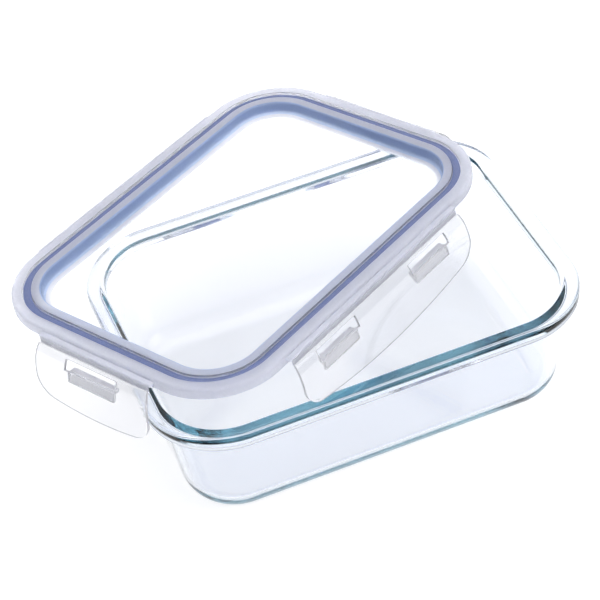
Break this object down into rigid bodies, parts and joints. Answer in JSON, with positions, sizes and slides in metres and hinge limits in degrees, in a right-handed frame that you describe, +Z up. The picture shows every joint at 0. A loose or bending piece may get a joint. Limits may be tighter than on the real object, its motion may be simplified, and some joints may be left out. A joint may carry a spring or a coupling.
{
  "type": "glass food container",
  "caption": "Rectangular glass food container with its clear plastic snap lid lying loose across the rim, a blue silicone seal and a hinged latch on each side.",
  "frame": {"origin": "centre of the flat underside of the glass tray", "axes": "+Z up, X along the tray's long side, Y along its short side, with the near side at -Y"},
  "size_m": [0.242, 0.1985, 0.0975],
  "materials": {
    "glass": "clear pressed glass with a blue-green tint at its edges",
    "clear_plastic": "clear moulded polypropylene, slightly hazy",
    "silicone": "soft translucent blue silicone",
    "latch_plastic": "clear moulded polypropylene, glossy",
    "hinge_plastic": "thin whitened polypropylene web"
  },
  "bodies": {
    "tray": {"glass_tray": "glass"},
    "lid": {"lid_shell": "clear_plastic", "silicone_seal": "silicone", "hinge_film_front": "hinge_plastic", "hinge_film_back": "hinge_plastic", "hinge_film_left": "hinge_plastic", "hinge_film_right": "hinge_plastic"},
    "front_latch": {"latch_front": "latch_plastic"},
    "back_latch": {"latch_back": "latch_plastic"},
    "left_latch": {"latch_left": "latch_plastic"},
    "right_latch": {"latch_right": "latch_plastic"}
  },
  "joints": [
    {"name": "lid_lift", "type": "slide", "parent": "tray", "child": "lid", "axis": [0, 0, 1], "range_m": [0, 0.12]},
    {"name": "front_latch_hinge", "type": "hinge", "parent": "lid", "child": "front_latch", "pos_m": [0.00706, -0.0456, 0.09181], "axis": [-0.8663, -0.4991, 0.022], "range_deg": [-3, 97]},
    {"name": "back_latch_hinge", "type": "hinge", "parent": "lid", "child": "back_latch", "pos_m": [-0.06707, 0.08272, 0.08399], "axis": [0.8663, 0.4991, -0.022], "range_deg": [-3, 97]},
    {"name": "left_latch_hinge", "type": "hinge", "parent": "lid", "child": "left_latch", "pos_m": [-0.11776, -0.032, 0.09013], "axis": [-0.4996, 0.8647, -0.0527], "range_deg": [-3, 97]},
    {"name": "right_latch_hinge", "type": "hinge", "parent": "lid", "child": "right_latch", "pos_m": [0.05774, 0.06912, 0.08567], "axis": [0.4996, -0.8647, 0.0527], "range_deg": [0, 74.77]}
  ]
}
